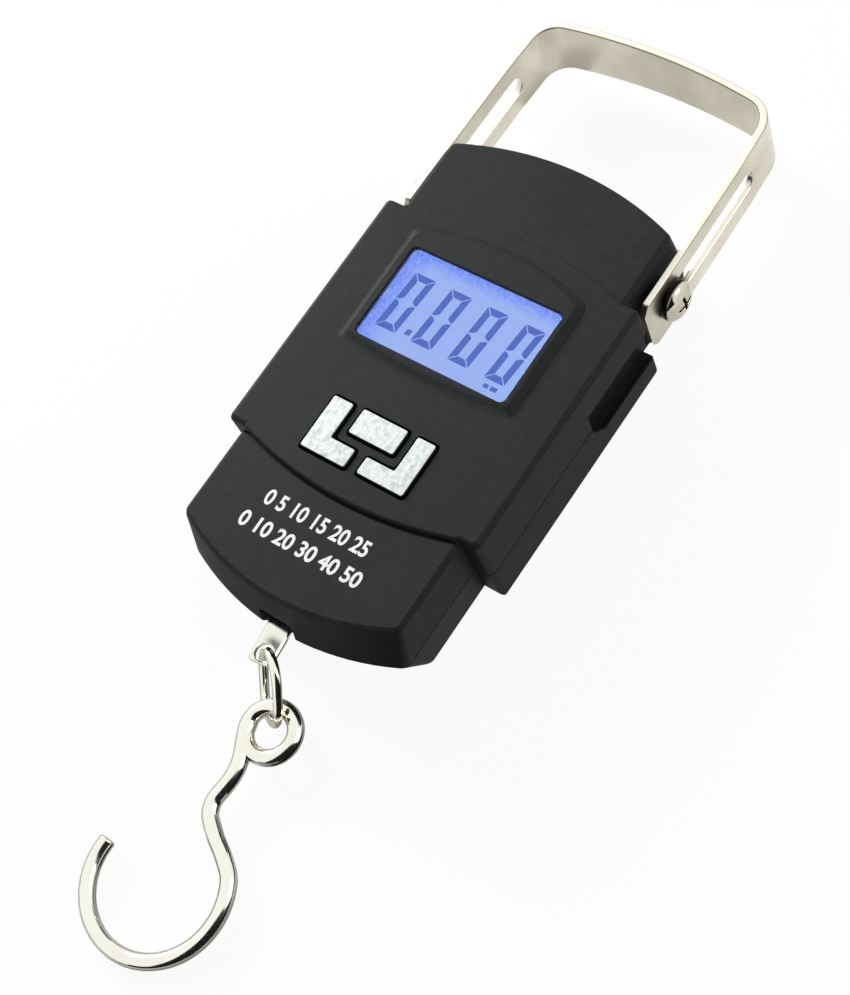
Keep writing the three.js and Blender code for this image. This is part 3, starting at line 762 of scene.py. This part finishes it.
def printed_row(name, text, x0, x1, y, height):
    """A row of plain numbers, from x0 to x1, printed on the narrow face."""
    lift, ink = 0.005, 0.03
    font = bpy.data.curves.new(name, "FONT")
    font.body = text
    font.offset = 0.024  # thickens the strokes
    bm = bmesh.new()
    bm.from_mesh(taken_mesh(placed(name, font)))
    bmesh.ops.remove_doubles(bm, verts=bm.verts, dist=1e-5)
    xs = [v.co.x for v in bm.verts]
    ys = [v.co.y for v in bm.verts]
    wide = (x1 - x0) / (max(xs) - min(xs))
    tall = height / (max(ys) - min(ys))
    bmesh.ops.scale(bm, vec=(wide, tall, 1), verts=bm.verts)
    corner = (x0 - min(xs) * wide, y - min(ys) * tall, NARROW_FACE + lift)
    bmesh.ops.translate(bm, vec=corner, verts=bm.verts)
    raised = bmesh.ops.extrude_face_region(bm, geom=bm.faces[:])["geom"]
    verts = [g for g in raised if isinstance(g, bmesh.types.BMVert)]
    bmesh.ops.translate(bm, vec=(0, 0, ink), verts=verts)
    millimetres(bm)
    return piece(name, mesh_of(bm, name, 30), PRINT_WHITE, "case")


# ---- keys ----
# Corners of the three key tops, anticlockwise, in millimetres.
KEYS = {
    "left": [(-13.9, -28.6), (-2.3, -28.6), (-2.3, -24.2), (-8.9, -24.2), (-8.9, -15.6),
             (-13.9, -15.6)],
    "centre": [(-6.2, -21.4), (5.4, -21.4), (5.4, -15.4), (-6.2, -15.4)],
    "right": [(0.9, -28.3), (12.7, -28.3), (12.7, -15.5), (8.1, -15.5), (8.1, -24.3),
              (0.9, -24.3)],
}


def key_piece(side):
    """A key cap with rounded corners and a softened rim round its top."""
    bm = bmesh.new()
    low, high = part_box("button_" + side)
    bottom, top = low.z / MM, high.z / MM
    base = bm.faces.new([bm.verts.new((x, y, bottom)) for x, y in KEYS[side]])
    raised = bmesh.ops.extrude_face_region(bm, geom=[base])["geom"]
    verts = [g for g in raised if isinstance(g, bmesh.types.BMVert)]
    bmesh.ops.translate(bm, vec=(0, 0, top - bottom), verts=verts)
    upright = [e for e in bm.edges if abs(e.verts[0].co.z - e.verts[1].co.z) > 1]
    bmesh.ops.bevel(
        bm, geom=upright, offset=0.45, segments=4, profile=0.5, affect="EDGES", material=-1
    )
    rim = [e for e in bm.edges if all(v.co.z > top - 0.01 for v in e.verts)]
    bmesh.ops.bevel(
        bm, geom=rim, offset=0.15, segments=3, profile=0.5, affect="EDGES", material=-1
    )
    millimetres(bm)
    mesh = mesh_of(bm, "key")
    made = piece(
        "key_cap_" + side, mesh, KEY_SILVER, "button_" + side, ["button_" + side]
    )
    level(made)


# ---- the object ----
rounded_node("front_shell", CASE_BLACK, "case", 0.3)
rounded_node("back_shell", CASE_BLACK, "case", 0.3)
rounded_node("battery_door", DARK_BLACK, "battery_door", 0.15)
rounded_node("eye_plate", WIRE_CHROME, "eye_plate", 0.18)
rounded_node("display_lens", WINDOW_CLEAR, "case", 0.15)
handle_piece()
hook_piece()
link_piece()
handle_screw(-1, "left")
handle_screw(1, "right")
for side in KEYS:
    key_piece(side)
display_figures()
printed_row("printed_numbers_upper", "0 5 10 15 20 25", -14.2, 12.9, -43.0, 3.7)
printed_row("printed_numbers_lower", "0 10 20 30 40 50", -16.4, 15.4, -49.4, 3.7)

CARRIED = {
    "display_glass": DISPLAY_BLUE,
    "backlight_panel": LIGHT_PANEL,
    "display_connector": CONNECTOR_RUBBER,
    "circuit_board": BOARD_GREEN,
    "load_cell": ALLOY,
    "cell_left": CELL_SLEEVE,
    "cell_right": CELL_SLEEVE,
}
for side in KEYS:
    CARRIED["key_switch_" + side] = SWITCH_BLACK
for node in [
    "handle_yoke", "yoke_bolt_1", "yoke_bolt_2", "plate_pin",
    "handle_spacer_left", "handle_spacer_right",
    "contact_plate_left", "contact_plate_right",
    "contact_spring_left", "contact_spring_right",
    "case_screw_1", "case_screw_2", "case_screw_3", "case_screw_4",
]:
    CARRIED[node] = INNER_STEEL
for node, material in CARRIED.items():
    for place in frame["nodes"][node].material_slots:
        place.material = material


# ---- studio ----
LAMP_AIM = (0, -0.02, 0)  # metres
CAMERA_PLACE = (203.99, -124.77, 385.97)  # millimetres
CAMERA_AIM = (10.848, -22.779, 13.0)
CAMERA_ROLL = -30.644  # degrees
LENS = 87.85


def seen_directly(f):
    """1 for rays from the camera, from polished metal and through the window."""
    camera = f.node("ShaderNodeLightPath", output="Is Camera Ray")
    glossy = f.node("ShaderNodeLightPath", output="Is Glossy Ray")
    clear = f.node("ShaderNodeLightPath", output="Is Transmission Ray")
    return f.maths("MAXIMUM", f.maths("MAXIMUM", camera, glossy), clear)


def floor():
    bm = bmesh.new()
    bmesh.ops.create_grid(bm, x_segments=2, y_segments=2, size=3.0)
    made = placed("floor", mesh_of(bm, "floor"))
    f = finish("floor_white")
    camera = f.node("ShaderNodeLightPath", output="Is Camera Ray")
    glossy = f.node("ShaderNodeLightPath", output="Is Glossy Ray")
    seen = 0.93 * camera + 0.5 * glossy
    plain = f.node("ShaderNodeBsdfDiffuse", {}, {"Color": (0.86, 0.86, 0.86, 1)})
    glow = f.node("ShaderNodeEmission", {}, {"Color": (1, 1, 1, 1), "Strength": 1.0})
    both = f.node("ShaderNodeMixShader", {}, {0: seen, 1: plain, 2: glow})
    f.node("ShaderNodeOutputMaterial", {}, {"Surface": both})
    made.data.materials.append(f.owner)


def world():
    made = bpy.data.worlds.new("studio")
    bpy.context.scene.world = made
    w = Finish(made)
    seen = seen_directly(w)
    soft = w.node("ShaderNodeBackground", {}, {"Color": (1, 1, 1, 1), "Strength": 0.3})
    white = w.node("ShaderNodeBackground", {}, {"Color": (1, 1, 1, 1), "Strength": 1.0})
    both = w.node("ShaderNodeMixShader", {}, {0: seen, 1: soft, 2: white})
    w.node("ShaderNodeOutputWorld", {}, {"Surface": both})


def card(name, faces, grey=0.01):
    """A card by the object, black unless told otherwise, seen only in its polished metal."""
    bm = bmesh.new()
    for corners in faces:
        bm.faces.new([bm.verts.new(corner) for corner in corners])
    millimetres(bm)
    mesh = bpy.data.meshes.new(name)
    bm.to_mesh(mesh)
    bm.free()
    made = placed(name, mesh)
    f = finish(name)
    colour = (grey, grey, grey, 1)
    f.surface({"Base Color": colour, "Roughness": 1.0, "Specular IOR Level": 0.0})
    made.data.materials.append(f.owner)
    made.visible_camera = False
    made.visible_diffuse = False
    made.visible_transmission = False
    made.visible_shadow = False


def rectangle(low, high, z):
    (x0, y0), (x1, y1) = low, high
    return [(x0, y0, z), (x1, y0, z), (x1, y1, z), (x0, y1, z)]


def dark_screen(name, centre, radius, inner, rim):
    """A curved black screen round a point, with a black apron on the floor in front of it.

    The rim gives its height, as an angle seen from the point, at each bearing.
    """

    def at(bearing, distance, height):
        turn = radians(bearing)
        return (centre[0] + distance * cos(turn), centre[1] + distance * sin(turn), height)

    faces = []
    for (b0, h0), (b1, h1) in zip(rim, rim[1:]):
        top0, top1 = (radius * tan(radians(h)) for h in (h0, h1))
        faces.append([at(b0, radius, 0), at(b1, radius, 0), at(b1, radius, top1),
                      at(b0, radius, top0)])
        faces.append([at(b0, inner, 0.03), at(b0, radius, 0.03), at(b1, radius, 0.03),
                      at(b1, inner, 0.03)])
    card(name, faces)


def lamp(name, place, size, watts):
    light = bpy.data.lights.new(name, "AREA")
    light.shape = "DISK"
    light.size = size
    light.energy = watts
    made = placed(name, light)
    made.location = place
    towards = Vector(LAMP_AIM) - Vector(place)
    made.rotation_euler = towards.to_track_quat("-Z", "Y").to_euler()


def camera():
    made = placed("camera", bpy.data.cameras.new("camera"))
    place = Vector(CAMERA_PLACE) * MM
    aim = Vector(CAMERA_AIM) * MM
    turn = (aim - place).to_track_quat("-Z", "Y")
    made.rotation_mode = "QUATERNION"
    made.location = place
    made.rotation_quaternion = turn @ Quaternion((0, 0, 1), radians(CAMERA_ROLL))
    made.data.sensor_fit = "HORIZONTAL"
    made.data.sensor_width = 36
    made.data.lens = LENS
    made.data.clip_start = 0.01
    bpy.context.scene.camera = made


floor()
world()
lamp("key", (-0.85, 0.3, 0.46), size=0.4, watts=13.0)
lamp("fill", (0.7, 0.35, 0.5), size=0.5, watts=2.6)
dark_screen(
    "screen_beside_hook",
    centre=(5.95, -118.3),
    radius=260,
    inner=28,
    rim=[
        (25, 3), (19, 28), (10, 58), (-2, 70), (-16, 76), (-38, 76), (-54, 68), (-66, 44),
        (-80, 14), (-98, 8),
    ],
)
card("grey_card_under_hook", [rectangle((-90, -190), (90, -60), 0.02)], grey=0.56)
card("grey_card_in_bow", [rectangle((-31, 76), (-23.5, 88), 0.03)], grey=0.46)
card("card_over_plate", [rectangle((-14.6, -62.6), (-10.4, -60.2), 36)])
BESIDE_RING = [
    (14, -97), (14, -89), (18, -85), (21, -82), (21, -64), (255, -30), (255, -125),
    (60, -108), (26, -99),
]
card("card_beside_ring", [[(x, y, 0.05) for x, y in BESIDE_RING]])
card("card_inside_bend", [rectangle((-5.4, -120.5), (4, -112), 0.03)])
camera()
bpy.context.scene.view_settings.view_transform = "Standard"
